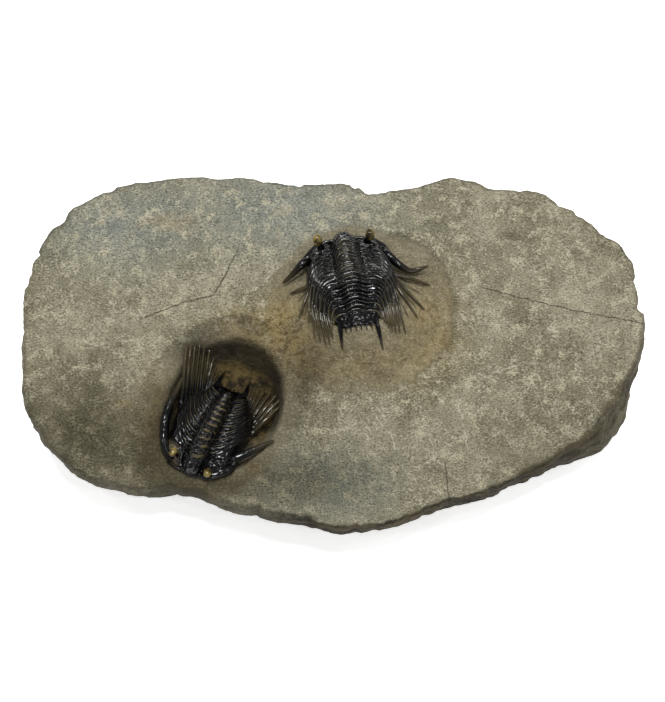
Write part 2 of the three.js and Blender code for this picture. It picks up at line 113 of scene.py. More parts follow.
# Trilobite body, measured along its back from the front of the head
BODY_LENGTH, HEAD_LENGTH, TAIL_LENGTH, RING_COUNT = 25.2, 5.8, 3.2, 10
RING_LENGTH = (BODY_LENGTH - HEAD_LENGTH - TAIL_LENGTH) / RING_COUNT
THORAX_END = BODY_LENGTH - TAIL_LENGTH
CREST_BOW = 1.1
SWEEP_START, SWEEP_END = (2.5, 7), (15, 25.2)
MERGE_START, MERGE_END = 10, 16
FULCRUM = 0.6
FLANK_ARCH, DROP_LIMIT, BROAD_DOME = 0.5, 1.3, 0.8
HALF_WIDTH = [(0, 4.6), (0.8, 6.8), (2, 8.3), (4, 9.2), (5.8, 9.4), (9.5, 10.1), (13, 10.1), (16.5, 9.2),
              (19.5, 7.6), (22, 6.2), (24, 5.4), (25.2, 4.2)]
AXIS_HALF_WIDTH = [(0, 2), (2.8, 3), (5.8, 2.8), (11, 3), (17, 2.8), (22, 2.3), (25.2, 1.2)]
AXIS_HEIGHT = [(0, 0.6), (1.4, 2.6), (3.7, 3.4), (5.8, 3.3), (11, 3.2), (17, 2.4), (22, 1.6), (25.2, 0.3)]
SIDE_DROP = [(0, 1.5), (5.8, 3), (17, 2.7), (22, 1.3), (25.2, 0.5)]
# Profile along one ring: furrow, thin front ridge, furrow, broad rear ridge, rear edge
RING_PROFILE = [(0, 0), (0.1, 0.16), (0.2, 0.3), (0.3, 0.2), (0.4, 0.06), (0.52, 0.14), (0.66, 0.5),
                (0.78, 0.6), (0.88, 0.5), (0.95, 0.2), (1, 0)]
RELIEF = {"furrow": 0.35, "border": 0.4, "lobe": 0.45, "neck": 0.35, "knob": 0.13, "tail": 0.25}
TAIL_RING_LENGTH = 1.3
LENGTH_STEPS, WIDTH_STEPS, SPINE_SIDES, MIDLINE_STEP, PAST_TAIL = 300, 150, 12, 0.05, 4
SKIRT_SHARE, SKIRT_DEPTH, SKIRT_END_DEPTH, SKIRT_SLOPE, SKIRT_SINK = 0.6, 7, 3, 3, 0.3
FOSSIL_GAP = 0.3

UPPER_FOSSIL = {
    "node": "trilobite_on_mound",
    "width": 1, "axis": 1, "merge": 0.8, "sweep": (3.6, 3.2), "rib_sweep": (3.8, 4.0), "rib_shift": 0.3,
    "heading": 98.5,
    "anchor": (5.4, 3.9, 25), "anchor_share": 1,
    "climb": [(0, -52), (0.12, -40), (0.23, -32), (0.35, -27), (0.5, -17), (0.65, -5), (0.8, 9), (1, 18)],
    "eyes": {1: (-3.7, 24.1, 25.2), -1: (8.1, 25.5, 25.2)},
    "eye_tone": {1: 1, -1: 0.5},
    "cheek_spines": {
        1: [(-6.8, 19.8, 22.4), (-9.5, 17.2, 21.3), (-11.6, 15.5, 20.4)],
        -1: [(12.2, 21.6, 22.5), (15, 19.2, 21.8), (17.6, 18.2, 21.3), (21.4, 19.3, 21.5)],
    },
    "rib_tips": {
        1: [(-9.9, 12.7), (-7.8, 6.4), (-5.6, 4.9), (-4.3, 1.5), (-3, 0.4), (-1.8, -0.3), (-0.9, -0.2),
            (-0.2, 0.9), (-0.5, 2.9), (-0.1, 4.5)],
        -1: [(21.7, 15.3), (20.4, 8.7), (18.8, 6.5), (16, 2.4), (14.7, 2.4), (13.8, 2.4), (13, 2.7),
             (12.3, 3.2), (11.7, 4.2), (11.2, 5.2)],
    },
    "tail_tips": {1: (1.9, -1.3), -1: (10.9, -1.2)},
    "ribs_from": (0, 0.3, 0.6, 0.85),
    "riblet": [(0, 0.2), (0.3, 0.28), (0.6, 0.24), (1, 0.1)],
    "riblet_tan_and_highlight": [(0, 0.04), (0.45, 0.1), (0.72, 1)],
    "crest_tan_and_highlight": 0.25, "rib_tan": 0.45, "olive": 0.5, "cheek_fill": 0,
}
LOWER_FOSSIL = {
    "node": "trilobite_in_hollow",
    "width": 0.87, "axis": 0.8, "merge": 0, "sweep": (3.6, 2.2), "rib_sweep": (8.0, 2.4), "rib_shift": 1.5,
    "heading": 248,
    "anchor": (-27.2, -17.6, 19.5), "anchor_share": 0.5,
    "climb": [(0, -42), (0.15, -20), (0.25, 4), (0.4, 16), (0.6, 25), (0.8, 34), (1, 42)],
    "eyes": {1: (-27.6, -29, 21.8), -1: (-35.2, -24.3, 21.8)},
    "eye_tone": {1: 0.75, -1: 0.9},
    "cheek_spines": {
        1: [(-21.7, -25.4, 19.9), (-17.4, -23.2, 19.8), (-13.2, -21, 19.7)],
        -1: [(-37.4, -16.6, 19.7), (-36.3, -12, 19), (-34.7, -8.4, 18.6), (-33.6, -5.5, 18)],
    },
    "rib_tips": {
        1: [(-12.2, -12.4), (-12.1, -10.7), (-12.9, -9.1), (-14.2, -7.9), (-15.5, -7.1), (-16.7, -6.5),
            (-17.8, -6.1), (-18.9, -6), (-19.9, -6.4), (-20.7, -7.2)],
        -1: [(-33, 1), (-32, 1.6), (-31, 2), (-30, 2), (-29, 1.6), (-28, 0.8), (-27.2, -0.2), (-26.5, -1.4),
             (-26.1, -2.7), (-25.9, -4.2)],
    },
    "tail_tips": {1: (-18.9, -4.6), -1: (-24.6, -2.2)},
    "ribs_from": (),
    "riblet": [(0, 0.1), (0.3, 0.12), (0.55, 0.17), (1, 0.09)],
    # Pale lines along the thin ribs: painted highlights
    "riblet_tan_and_highlight": [(0, 0.6), (1, 0.7)],
    "crest_tan_and_highlight": 0.5, "rib_tan": 0.34, "olive": 0, "cheek_fill": 0.9,
}
# Radius of each kind of spine at shares of its length
RIB_SPINE = [(0, 0.34), (0.2, 0.42), (0.42, 0.47), (0.6, 0.42), (1, 0.15)]
CHEEK_SPINE = [(0, 0.95), (0.3, 1.08), (0.6, 0.94), (0.9, 0.54), (1, 0.28)]
TAIL_SPINE = [(0, 0.62), (0.4, 0.5), (1, 0.16)]
TOOTH = [(0, 0.26), (1, 0.09)]
HEAD_BORDER = [(0, 0.3), (0.5, 0.42), (1, 0.3)]
EYE_STALK = [(0, 0.95), (0.5, 0.72), (1, 0.78)]
EYE_BALL, EYE_STRETCH, EYE_ROWS, EYE_AROUND, EYE_POLE = 1.05, 1.35, 14, 20, 0.02
NO_TAN = [(0, 0), (1, 0)]
RIB_TAN = [(0, 0), (0.6, 0), (0.75, 0.25), (1, 0.6)]
FLANK_SHARES = (0.03, 0.2, 0.36, 0.52, 0.66, 0.78, 0.88, 0.96)
RIB_SWEEP_ROOM = 0.7
REAR_RIDGE, RIBLET_STEP, RIBLET_LIFT, RIBLET_REACH = 0.74, 0.47, 0.12, 0.8
FRONT_RIBS, FRONT_RIB_EXTRA, EXTRA_AT_ROOT = 3, 0.45, 0.6
TAIL_TEETH = (-0.62, -0.38, -0.12, 0.12, 0.38, 0.62)
# Half of the head's rim: distance along the back, share of the half width
HEAD_RIM = [(3.2, 0.98), (2, 0.99), (0.9, 0.99), (0.2, 0.85), (-0.1, 0.5)]
RIM_FRONT = (-0.25, 0)
HEAD_TEETH, HEAD_TOOTH_LENGTH, HEAD_TOOTH_DROP = 29, 1.1, 0.25
MARK_NAMES = ("crest", "eye", "tip", "rib", "olive")

# Rock colours; wall and broken dark are partly painted shade, and glint is a painted highlight on the
# hollow's floor
STONE = {
    "deep grey": (0.172, 0.157, 0.1), "light grey": (0.288, 0.265, 0.187), "bluish": (0.225, 0.245, 0.22),
    "prepared": (0.18, 0.16, 0.107), "ochre": (0.27, 0.195, 0.07), "mottle": (0.74, 0.73, 0.7),
    "cloud": (0.4, 0.37, 0.255), "pale fleck": (0.47, 0.445, 0.335), "crumb": (0.33, 0.285, 0.18),
    "vein": (0.075, 0.048, 0.018), "dark fleck": (0.075, 0.066, 0.045), "grain": (0.055, 0.048, 0.035),
    "broken dark": (0.009, 0.007, 0.005), "broken light": (0.075, 0.06, 0.034), "shade": (0.4, 0.385, 0.35),
    "wall": (0.013, 0.009, 0.005), "floor dark": (0.008, 0.006, 0.003), "floor light": (0.085, 0.06, 0.021),
    "glint": (0.4, 0.36, 0.25), "crack": (0.05, 0.042, 0.03), "scratch": (0.52, 0.5, 0.4),
}
# Shell colours; crest is tan put on the ring tops of one half of the axis as a painted highlight, and rib is
# tan that along the thin ribs stands for painted highlight lines
SHELL = {
    "black": (0.001, 0.001, 0.0018), "grey black": (0.004, 0.004, 0.0035),
    "dark olive": (0.012, 0.011, 0.007), "light olive": (0.045, 0.04, 0.024),
    "crest": (0.22, 0.175, 0.08), "rib": (0.27, 0.22, 0.11), "tip": (0.06, 0.046, 0.022),
    "dark amber": (0.03, 0.02, 0.006), "light amber": (0.2, 0.145, 0.04),
}

# Camera: it looks down on the slab from its near side
CAMERA_ELEVATION, CAMERA_DISTANCE = 72.0, 450.0
CAMERA_TARGET = (0, 0, 14)
LENS, SENSOR = 101.9, 36
CAMERA_SHIFT = (-0.0021, 0.0093)

# Each light's name, azimuth, elevation, spread and strength
LIGHTS = [
    ("back_light", 205, 64, 8, 1.15),
    ("top_light", 150, 82, 9, 1.6),
    ("side_light", 100, 50, 10, 0.3),
    ("front_light", 20, 40, 14, 0.35),
]
# Small weak lights whose reflections sparkle on the glossy shells: azimuth and elevation
GLINT_LIGHTS = [(180, 48), (250, 56), (295, 66), (60, 64), (120, 58), (215, 78)]
GLINT_SPREAD, GLINT_STRENGTH = 2.5, 0.175
WORLD_STRENGTH = 0.24
FLOOR_WIDTH, FLOOR_GREY, FLOOR_GLOW, FLOOR_ROUGHNESS = 6, 0.94, 0.6, 0.9


def table(pairs, places):
    """Values at the places, read between the pairs of place and value."""
    pairs = np.array(pairs, float)
    return np.interp(places, pairs[:, 0], pairs[:, 1])


def smooth(low, high, value):
    """Soft step from 0 at low to 1 at high."""
    t = np.clip((np.asarray(value, float) - low) / (high - low), 0, 1)
    return t * t * (3 - 2 * t)


def smaller(a, b, blend):
    """The smaller of two heights, rounded over where they meet."""
    share = np.clip(0.5 + 0.5 * (b - a) / blend, 0, 1)
    return b * (1 - share) + a * share - blend * share * (1 - share)


def hollow_place(x, y):
    """Distance along and across the hollow, and its reach from the middle (1 at about the rim)."""
    turn = math.radians(HOLLOW["heading"])
    dx, dy = x - HOLLOW["at"][0], y - HOLLOW["at"][1]
    along = dx * math.cos(turn) + dy * math.sin(turn)
    across = -dx * math.sin(turn) + dy * math.cos(turn)
    reach = np.hypot((along - HOLLOW["shift"]) / HOLLOW["reach"][0], across / HOLLOW["reach"][1])
    return along, across, reach


def ground(x, y):
    """Height of the rock's upper face, without its fine roughness."""
    x, y = np.asarray(x, float), np.asarray(y, float)
    swell = 0.45 * np.sin(x / 19 + 0.6) * np.cos(y / 15 - 0.4) + 0.25 * np.sin(x / 9 + y / 13)
    reach = np.hypot((x - MOUND["at"][0]) / MOUND["reach"][0], (y - MOUND["at"][1]) / MOUND["reach"][1])
    back = MOUND["back_edge"] + MOUND["back_slope"] * x
    mound = MOUND["height"] * (1 - smooth(0.3, 1.02, reach)) * (1 - smooth(0, MOUND["back_width"], y - back))
    along, _, hollow_reach = hollow_place(x, y)
    wall = HOLLOW["steepness"] * np.maximum(0, hollow_reach - HOLLOW["wall_start"]) ** 1.5
    floor = HOLLOW["floor"] + HOLLOW["floor_slope"] * along
    return smaller(SLAB_TOP + swell + mound, floor + wall, HOLLOW["rim_blend"])


def make_object(name, points, faces, attributes, material):
    """Smooth mesh object from points in mm, with one float attribute per entry of attributes."""
    mesh = bpy.data.meshes.new(name)
    shifted = (np.asarray(points, float) - (*SLAB_CENTRE, 0)) * MM
    mesh.from_pydata(shifted.tolist(), [], faces)
    for key, values in attributes.items():
        layer = mesh.attributes.new(key, "FLOAT", "POINT")
        layer.data.foreach_set("value", np.asarray(values, np.float32))
    mesh.polygons.foreach_set("use_smooth", [True] * len(mesh.polygons))
    mesh.materials.append(material)
    mesh.update()
    made = bpy.data.objects.new(name, mesh)
    bpy.context.collection.objects.link(made)
    return made


def ring_faces(ring_count, around):
    """Quads between successive closed rings of points."""
    i = np.arange(ring_count - 1)[:, None] * around
    j = np.arange(around)[None, :]
    a = i + j
    b = i + (j + 1) % around
    return np.stack([a, b, b + around, a + around], -1).reshape(-1, 4).tolist()


def noise_at(points, size):
    """Smooth noise of the given grain size at each point."""
    return np.array([noise.noise(Vector(p) / size) for p in points.tolist()])


def roughness(points, size, depth):
    """Rough displacement at each point: fractal noise of the given grain size."""
    return depth * np.array([noise.fractal(Vector(p) / size, 0.9, 2.1, 3) for p in points.tolist()])


def spline_piece(p0, p1, p2, p3, steps):
    """Points on the smooth curve from p1 up to p2, whose neighbours are p0 and p3."""
    t = np.linspace(0, 1, steps, endpoint=False)[:, None]
    return 0.5 * (2 * p1 + (p2 - p0) * t + (2 * p0 - 5 * p1 + 4 * p2 - p3) * t ** 2
                  + (3 * p1 - p0 - 3 * p2 + p3) * t ** 3)


def spaced(line, count, endpoint=True):
    """Points at even distances along a line of points."""
    length = np.concatenate([[0], np.cumsum(np.linalg.norm(np.diff(line, axis=0), axis=1))])
    at = np.linspace(0, length[-1], count, endpoint=endpoint)
    return np.stack([np.interp(at, length, line[:, c]) for c in range(line.shape[1])], -1)


def smooth_outline(corners, count):
    """Closed smooth curve through the corners, evenly spaced."""
    p = np.array(corners, float)
    pieces = [spline_piece(p[k - 1], p[k], p[(k + 1) % len(p)], p[(k + 2) % len(p)], SPLINE_STEPS)
              for k in range(len(p))]
    dense = np.concatenate(pieces)
    return spaced(np.vstack([dense, dense[:1]]), count, endpoint=False)


def curve_through(points, count):
    """Open smooth curve through the points, evenly spaced."""
    p = np.array(points, float)
    p = np.vstack([2 * p[0] - p[1], p, 2 * p[-1] - p[-2]])
    pieces = [spline_piece(*p[k - 1:k + 3], SPLINE_STEPS // 2) for k in range(1, len(p) - 2)]
    return spaced(np.vstack([*pieces, p[-2:-1]]), count)


def pulled_in(outline, inset):
    """The outline, drawn toward its middle by the inset."""
    reach = np.linalg.norm(outline, axis=1)
    return outline * ((reach - inset) / reach)[:, None]


def notches(points):
    """How far the edge is broken back at each point: small facets and a few deeper nicks."""
    upright = points * (1, 1, 0.35)
    nicks = np.maximum(0.0, noise_at(upright, NICK_SIZE) - NICK_START)
    return FACET_DEPTH * np.abs(noise_at(upright, FACET_SIZE)) + NICK_DEPTH * nicks


def chipped(ring):
    """A line round the slab's side, broken back to angular facets above the flat underside."""
    chips = np.array([noise.voronoi(Vector(p) / CHIP_SIZE)[0][0] for p in ring.tolist()])
    rough = CHIP_DEPTH * (chips - CHIP_MIDDLE) + roughness(ring, EDGE_GRAIN_SIZE, EDGE_GRAIN_DEPTH)
    inward = rough * smooth(0, 2.5, ring[:, 2]) + notches(ring) * smooth(6, 12, ring[:, 2])
    direction = ring * (0.7, 1, 0)
    direction /= np.linalg.norm(direction, axis=1)[:, None]
    return ring - direction * np.maximum(inward, -MOST_OUTWARD)[:, None]


def side_rings(outline):
    """Rings of points from the underside up to the rim, before the edge is chipped."""
    nearness = 1 - smooth(0, CORNER_REACH, np.hypot(*(outline - CHIPPED_CORNER).T))
    heights, insets, corner_insets = np.array(EDGE_LINES, float).T
    rings = []
    for height in np.linspace(0, 1, SIDE_RINGS) * heights[-1]:
        corner = np.interp(height, heights, corner_insets)
        place = pulled_in(outline, np.interp(height, heights, insets) + corner * nearness)
        rings.append(np.column_stack([place, np.full(ROUND_POINTS, height)]))
    rim = pulled_in(outline, RIM_INSET + RIM_CORNER_INSET * nearness)
    rim_height = ground(*rim.T)
    shoulder = pulled_in(outline, SHOULDER_INSET + SHOULDER_CORNER_INSET * nearness)
    shoulder_height = (1 - SHOULDER_SHARE) * heights[-1] + SHOULDER_SHARE * rim_height
    rings.append(np.column_stack([shoulder, shoulder_height]))
    rings.append(np.column_stack([rim, rim_height - RIM_DROP]))
    return rings


def build_slab(material):
    """The rock as rings of points: up its chipped side, then inward over its upper face."""
    rings = [chipped(ring) for ring in side_rings(smooth_outline(BROW_OUTLINE, ROUND_POINTS))]
    rim = rings[-1][:, :2]
    inside = [np.full(len(rings) * ROUND_POINTS, -1.0)]
    for share in np.linspace(1, 0, TOP_RINGS + 1)[1:-1]:
        place = rim * share
        ring = np.column_stack([place, ground(*place.T)])
        ring[:, 2] += sum(roughness(ring, size, depth) for size, depth in TOP_GRAINS)
        rings.append(ring)
        inside.append((1 - share) * np.linalg.norm(rim, axis=1))
    below, above = [0, 0, 0], [0, 0, ground(0, 0)]
    points = np.concatenate([*rings, [below, above]])
    inside = np.concatenate([*inside, (-1, 40)])
    faces = ring_faces(len(rings), ROUND_POINTS)
    centre = len(rings) * ROUND_POINTS
    last = centre - ROUND_POINTS
    for i in range(ROUND_POINTS):
        following = (i + 1) % ROUND_POINTS
        faces.append([centre, following, i])
        faces.append([centre + 1, last + i, last + following])
    return make_object("limestone_slab_fine", points, faces, slab_marks(points, inside), material)


def path_distance(x, y, path):
    """Signed distance from a path, large past its ends."""
    best = np.full(x.shape, NO_LINE)
    for (x0, y0), (x1, y1) in zip(path, path[1:]):
        dx, dy = x1 - x0, y1 - y0
        length = math.hypot(dx, dy)
        along = np.clip(((x - x0) * dx + (y - y0) * dy) / length ** 2, 0, 1)
        gap = np.hypot(x - x0 - along * dx, y - y0 - along * dy)
        side = np.sign(dx * (y - y0) - dy * (x - x0))
        best = np.where(gap < np.abs(best), side * gap, best)
    return best


def nearest_line(x, y, z, paths):
    """Signed distance from the nearest of the paths on the upper part of the rock."""
    best = np.full(x.shape, NO_LINE)
    for path in paths:
        gap = path_distance(x, y, path)
        best = np.where(np.abs(gap) < np.abs(best), gap, best)
    return np.where(z > LINES_ABOVE, best, NO_LINE)


def spot(x, y, strength, centre, reach):
    """Soft round patch: strongest in its middle, falling away over the given reaches."""
    return strength * np.exp(-(((x - centre[0]) / reach[0]) ** 2 + ((y - centre[1]) / reach[1]) ** 2))


def spots(x, y, patches):
    """All the soft patches of a list together."""
    return sum(spot(x, y, *patch) for patch in patches)


def broken_and_shaded_share(x, y, inside, wobble):
    """Dark broken rock, partly painted shade: the whole side, and a ragged strip along the rim that is wider
    and darker on the near side.
    """
    near = smooth(10, -20, y) + smooth(30, 60, x) * smooth(5, -15, y)
    width = 0.2 + (0.4 + 0.9 * near) * np.clip(0.3 + 2 * wobble, 0, 1.4)
    broken = np.where(inside >= 0, 1 - smooth(0, width, inside), 1.0)
    # Painted shade: the near side is darkened more
    broken = broken * (0.55 + 0.45 * np.clip(near, 0, 1))
    broken = broken * (0.5 + 0.5 * np.maximum(smooth(-30, 0, x), smooth(10, 30, y)))
    return broken * (1 - spot(x, y, *CORNER_SPOT))


def hollow_shares(x, y, z, on_top, wobble):
    """Dark wall of the hollow, partly stain and partly painted shade, and its brown floor; the wall is
    lighter where the hollow opens toward the far right.
    """
    along, across, reach = hollow_place(x, y)
    below = SLAB_TOP + 0.3 - z
    in_hollow = (reach < 1.5) & on_top
    open_side = 0.85 * smooth(2, 8, along) * smooth(0, 5, across)
    wall = smooth(-1.3, 3.2, below + 0.9 * wobble) * in_hollow * (1 - open_side)
    wall = wall + spot(x, y, *WALL_SHADE_SPOT) * on_top
    floor = smooth(3.0, 5.0, below) * in_hollow * (1 - smooth(0.84, 1.0, reach))
    return wall, floor


def slab_marks(points, inside):
    """Where the rock is prepared, stained, shaded, broken, cracked or scratched, as values at its points."""
    x, y, z = points.T
    reach = hollow_place(x, y)[2]
    wobble = noise_at(points, WOBBLE_SIZE)
    (mid_x, mid_y), (reach_x, reach_y) = PREPARED["at"], PREPARED["reach"]
    mound = np.hypot((x - mid_x) / reach_x, (y - mid_y) / reach_y) + 0.06 * wobble
    prepared = np.maximum(1 - smooth(0.96, 1.02, mound), 1 - smooth(1.12, 1.4, reach + 0.1 * wobble))
    # Thin painted shade line along the right side of the mound's edge, where it steps down
    border = np.exp(-((mound - 1) / 0.025) ** 2) * smooth(0, 14, x) * smooth(-14, 0, y)
    wall, floor = hollow_shares(x, y, z, inside >= 0, wobble)
    marks = {
        "prepared": prepared,
        "ochre": spots(x, y, OCHRE_SPOTS),
        "wall": wall,
        "floor": floor,
        "shade": spots(x, y, SHADE_SPOTS) + 0.6 * border,
        "bluish": spots(x, y, BLUISH_SPOTS),
        "broken": broken_and_shaded_share(x, y, inside, wobble),
    }
    marks = {name: np.clip(values, 0, 1) for name, values in marks.items()}
    return {**marks, "crack": nearest_line(x, y, z, CRACKS), "scratch": nearest_line(x, y, z, SCRATCHES)}


class Back:
    """The bent midline of one fossil's back, and the shell's surface spread out from it."""

    def __init__(self, fossil):
        self.width, self.axis_width = fossil["width"], fossil["axis"]
        self.sweep, self.merge = fossil["sweep"], fossil["merge"]
        self.climb = [(share * BODY_LENGTH, math.radians(degrees)) for share, degrees in fossil["climb"]]
        self.places = np.arange(0, BODY_LENGTH + PAST_TAIL, MIDLINE_STEP)
        slopes = table(self.climb, self.places + MIDLINE_STEP / 2)
        along = np.concatenate([[0], -np.cumsum(np.cos(slopes) * MIDLINE_STEP)[:-1]])
        rise = np.concatenate([[0], -np.cumsum(np.sin(slopes) * MIDLINE_STEP)[:-1]])
        fixed = fossil["anchor_share"] * BODY_LENGTH
        self.along = along - np.interp(fixed, self.places, along)
        self.rise = rise - np.interp(fixed, self.places, rise)
        turn = math.radians(fossil["heading"])
        self.forward = np.array([math.cos(turn), math.sin(turn), 0])
        self.left = np.array([-math.sin(turn), math.cos(turn), 0])
        self.anchor = np.array(fossil["anchor"], float)

    def edge(self, s):
        """Half of the body's width."""
        return self.width * table(HALF_WIDTH, s)

    def axis(self, s):
        """Half of the width of the raised axis."""
        return self.axis_width * table(AXIS_HALF_WIDTH, s)

    def fulcrum(self, s):
        """Distance from the middle where the flank bends down."""
        return self.axis(s) + FULCRUM * (self.edge(s) - self.axis(s))

    def point(self, s, w, h):
        """Place at distance s along the back, w to the left and h above the midline."""
        s, w, h = np.broadcast_arrays(np.asarray(s, float), np.asarray(w, float), np.asarray(h, float))
        slope = table(self.climb, s)
        along = np.interp(s, self.places, self.along) - np.sin(slope) * h
        rise = np.interp(s, self.places, self.rise) + np.cos(slope) * h
        up = np.array([0.0, 0.0, 1.0])
        return self.anchor + along[..., None] * self.forward + w[..., None] * self.left + rise[..., None] * up

    def surface(self, s, w, lift=0.0):
        """Place on the shell, or above it by the lift."""
        s, w = np.broadcast_arrays(np.asarray(s, float), np.asarray(w, float))
        reach = np.abs(w)
        edge, axis, fulcrum = self.edge(s), self.axis(s), self.fulcrum(s)
        beyond = np.maximum(0, (reach - fulcrum) / (edge - fulcrum))
        crest = np.sqrt(np.maximum(0, 1 - (reach / axis) ** 2))
        flank = np.clip((reach - axis) / (edge - axis), 0, 1)
        swept = smooth(*SWEEP_START, s) * (1 - smooth(*SWEEP_END, s))
        back = self.sweep[0] * swept * flank ** self.sweep[1]
        side = FLANK_ARCH * np.sin(np.pi * flank) - table(SIDE_DROP, s) * np.minimum(beyond, DROP_LIMIT) ** 2
        merged = self.merge * smooth(MERGE_START, MERGE_END, s)
        dome = np.where(reach < axis, table(AXIS_HEIGHT, s) * crest, 0)
        broad_dome = BROAD_DOME * table(AXIS_HEIGHT, s) * np.maximum(0, 1 - (reach / edge) ** 2)
        height = (1 - merged) * dome + merged * broad_dome + np.where(reach < axis, 0, side)
        bow = CREST_BOW * smooth(0.5, 5, s) * (1 - 0.5 * merged)
        rise = height + relief(s, w, axis, edge, merged) + lift
        return self.point(s + back - bow * crest ** 2, w, rise)


def place_in_ring(s):
    """Number of the ring at each place along the back, and the share of the ring passed there."""
    in_ring = (s - HEAD_LENGTH) / RING_LENGTH
    return in_ring, in_ring - np.floor(in_ring)


def relief(s, w, axis, edge, merged):
    """Rings, furrows and small knobs that stand on the smooth form of the back."""
    in_ring, share = place_in_ring(s)
    reach = np.abs(w)
    flank = (reach - axis) / (edge - axis)
    rings = table(RING_PROFILE, share) * smooth(-0.1, 0.15, in_ring) * (1 - smooth(9.8, 11.2, in_ring))
    rings = rings * (1 - smooth(0.02, 0.3, flank))
    furrow = -RELIEF["furrow"] * (1 - merged) * smooth(1, 3, s) * np.exp(-((reach - axis) / 0.35) ** 2)
    head = 1 - smooth(HEAD_LENGTH - 0.6, HEAD_LENGTH, s)
    border = RELIEF["border"] * np.exp(-((edge - reach) / 0.5) ** 2) * head
    lobe = -RELIEF["lobe"] * np.exp(-((reach - 0.55 * axis) / 0.35) ** 2) * np.exp(-((s - 3.4) / 1.6) ** 2)
    neck = -RELIEF["neck"] * np.exp(-((s - 4.9) / 0.28) ** 2) * head
    knobs = np.maximum(0, np.sin(4.4 * s + 1.2 * np.sin(3 * w)) * np.sin(4.1 * w + np.cos(2.6 * s))) ** 2
    ends = np.maximum(head, smooth(THORAX_END - 0.3, THORAX_END + 0.5, s))
    knobs = RELIEF["knob"] * knobs * np.maximum(ends, 1 - smooth(0, 0.25, flank)) * (1 - 0.6 * rings)
    tail_rings = np.maximum(0, np.cos(2 * np.pi * (s - THORAX_END) / TAIL_RING_LENGTH))
    tail = smooth(THORAX_END, THORAX_END + 1, s) * RELIEF["tail"] * tail_rings * (reach < axis)
    return rings + furrow + border + lobe + neck + knobs + tail


def lifted(points, clearance):
    """The points, raised where needed to clear the rock."""
    points = np.array(points, float)
    points[:, 2] = np.maximum(points[:, 2], ground(points[:, 0], points[:, 1]) + FOSSIL_GAP + clearance)
    return points


class Shell:
    """Collects the body, spines and eyes of one fossil into one mesh with its marks."""

    def __init__(self):
        self.points, self.faces, self.marks, self.count = [], [], [], 0

    def add(self, points, faces, **marks):
        points = np.asarray(points, float).reshape(-1, 3)
        self.points.append(points)
        self.faces.extend([[corner + self.count for corner in face] for face in faces])
        self.marks.append(np.column_stack([np.broadcast_to(marks.get(name, 0.0), len(points))
                                           for name in MARK_NAMES]))
        self.count += len(points)

    def spine(self, path, radii, sections=18, tan=NO_TAN):
        """Tube along the path that narrows as the radii say and stays clear of the rock."""
        share = np.linspace(0, 1, sections)
        radius = table(radii, share)
        centre = lifted(curve_through(path, sections), 0.75 * radius)
        tangent = np.gradient(centre, axis=0)
        tangent /= np.linalg.norm(tangent, axis=1)[:, None]
        across = np.cross(tangent, (0, 0, 1))
        across /= np.linalg.norm(across, axis=1)[:, None]
        above = np.cross(across, tangent)
        turn = np.arange(SPINE_SIDES) * 2 * np.pi / SPINE_SIDES
        ring = across[:, None] * np.cos(turn)[None, :, None] + above[:, None] * np.sin(turn)[None, :, None]
        radius[-1] *= 0.3
        points = centre[:, None] + ring * radius[:, None, None]
        tip, rib = (np.repeat(values, SPINE_SIDES) for values in (share, table(tan, share)))
        self.add(points, ring_faces(sections, SPINE_SIDES), tip=tip, rib=rib)

    def ball(self, centre, radius, stretch, direction, tone):
        """Ball stretched along a direction, with its share of the eyes' colour."""
        polar = np.linspace(EYE_POLE, np.pi - EYE_POLE, EYE_ROWS)[:, None]
        turn = (np.arange(EYE_AROUND) * 2 * np.pi / EYE_AROUND)[None, :]
        direction = np.asarray(direction, float) / np.linalg.norm(direction)
        side = np.cross(direction, (0.3, 1, 0.2))
        side /= np.linalg.norm(side)
        other = np.cross(direction, side)
        body = (np.cos(polar) * stretch)[..., None] * direction
        body = body + (np.sin(polar) * np.cos(turn))[..., None] * side
        body = body + (np.sin(polar) * np.sin(turn))[..., None] * other
        self.add(np.asarray(centre) + radius * body, ring_faces(EYE_ROWS, EYE_AROUND), eye=tone)


def build_fossil(fossil, material):
    back = Back(fossil)
    shell = Shell()
    add_body(shell, back, fossil["cheek_fill"])
    for side in (1, -1):
        add_rib_spines(shell, back, fossil, side)
        add_cheek_spine(shell, back, fossil["cheek_spines"][side], side)
        add_tail_spine(shell, back, fossil["tail_tips"][side], side)
        add_eye(shell, back, fossil["eyes"][side], side, fossil["eye_tone"][side])
    add_tail_teeth(shell, back)
    add_head_border(shell, back)
    strength = {"crest": fossil["crest_tan_and_highlight"], "rib": fossil["rib_tan"], "olive": fossil["olive"]}
    marks = zip(MARK_NAMES, np.concatenate(shell.marks).T)
    attributes = {name: values * strength.get(name, 1) for name, values in marks}
    points = np.concatenate(shell.points)
    made = make_object(fossil["node"] + "_fine", points, shell.faces, attributes, material)
    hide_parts(fossil["node"])
    return made


def body_marks(back, s, spread, cheek_fill):
    """Where the body is tan along its crest, put on the ring tops of one half of the axis as a painted
    highlight, olive over its rings and tan rock at one cheek.
    """
    w = spread * back.edge(s)
    off_axis = w / back.axis(s)
    crest = np.maximum(0, 1 - off_axis ** 2) * smooth(3.5, 6, s) * (1 - smooth(19, 22.5, s))
    # Only the ring tops, and only on one half of the axis: a painted highlight with tan
    crest = crest * smooth(0.2, 0.5, table(RING_PROFILE, place_in_ring(s)[1])) * smooth(-0.5, 0.4, off_axis)
    olive = smooth(5, 8, s) * (1 - smooth(13.5, 17.5, s)) * np.ones_like(w)
    fill = cheek_fill * smooth(0.4, 0.65, -spread) * smooth(0.5, 1.5, s) * (1 - smooth(3.5, 5.5, s))
    return {"crest": crest, "olive": olive, "rib": fill}


